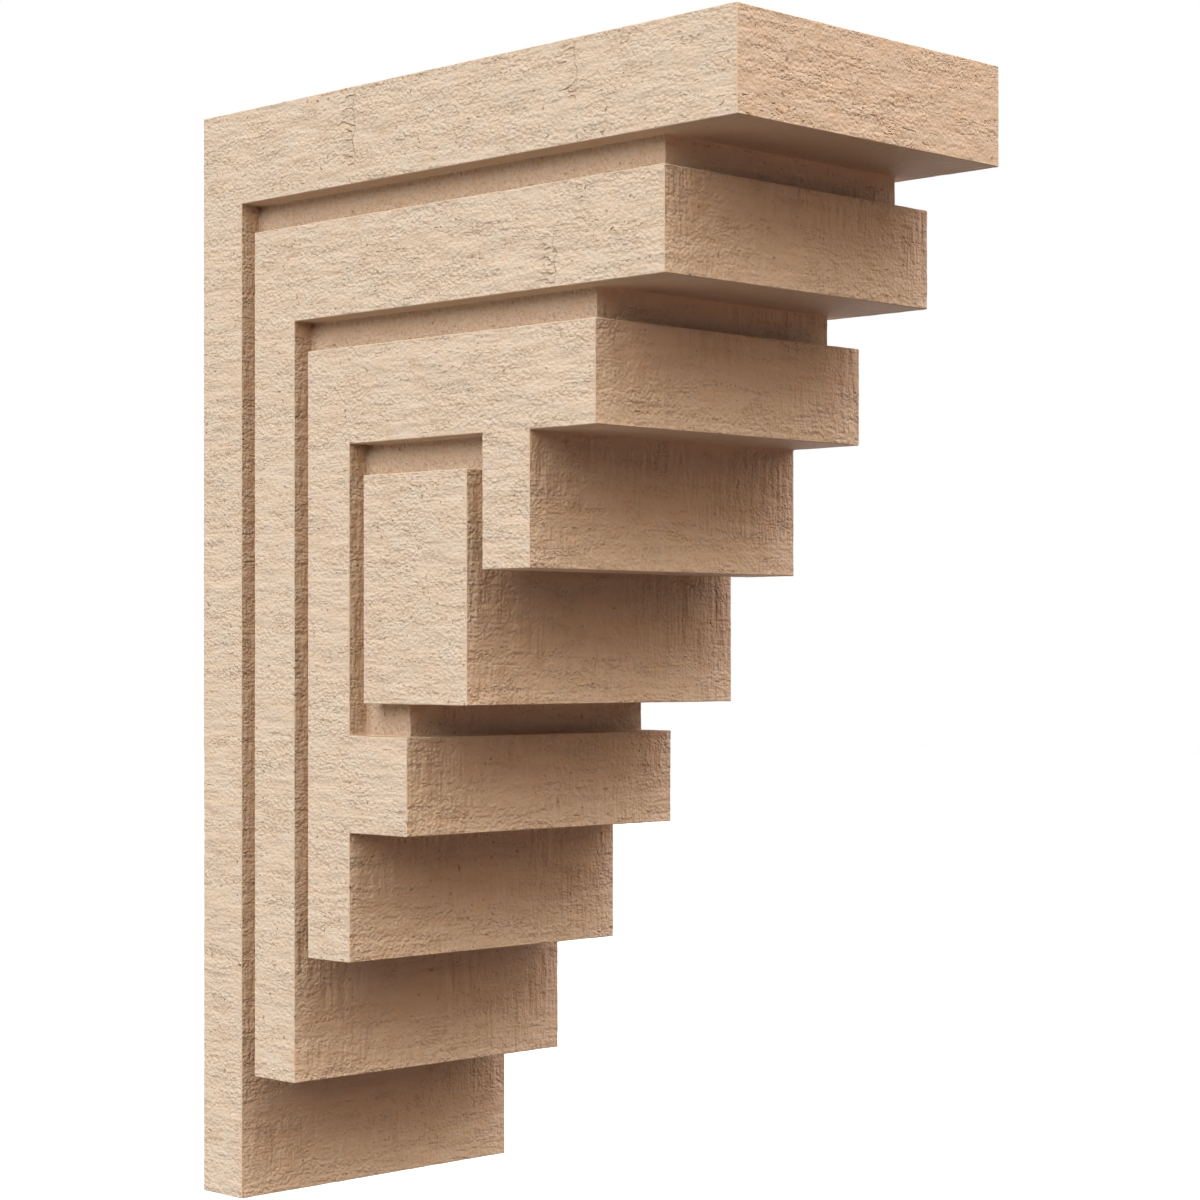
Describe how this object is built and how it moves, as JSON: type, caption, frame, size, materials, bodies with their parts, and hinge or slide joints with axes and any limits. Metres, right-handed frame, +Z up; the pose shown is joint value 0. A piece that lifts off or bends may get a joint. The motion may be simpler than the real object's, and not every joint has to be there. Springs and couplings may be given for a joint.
{
  "type": "urethane corbel",
  "caption": "Stepped moulded corbel with nested angle bands parted by grooves on both sides, for a wall under a beam or shelf.",
  "frame": {"origin": "centre of the flat back face, where the corbel meets the wall", "axes": "+X across the width, +Y out of the back face into the wall, so the corbel reaches out to -Y, +Z up to the top face"},
  "size_m": [0.1524, 0.3048, 0.4572],
  "materials": {
    "tan_urethane": "matt tan, with a moulded rough sawn timber texture"
  },
  "bodies": {
    "root": {"corbel": "tan_urethane"}
  },
  "joints": []
}
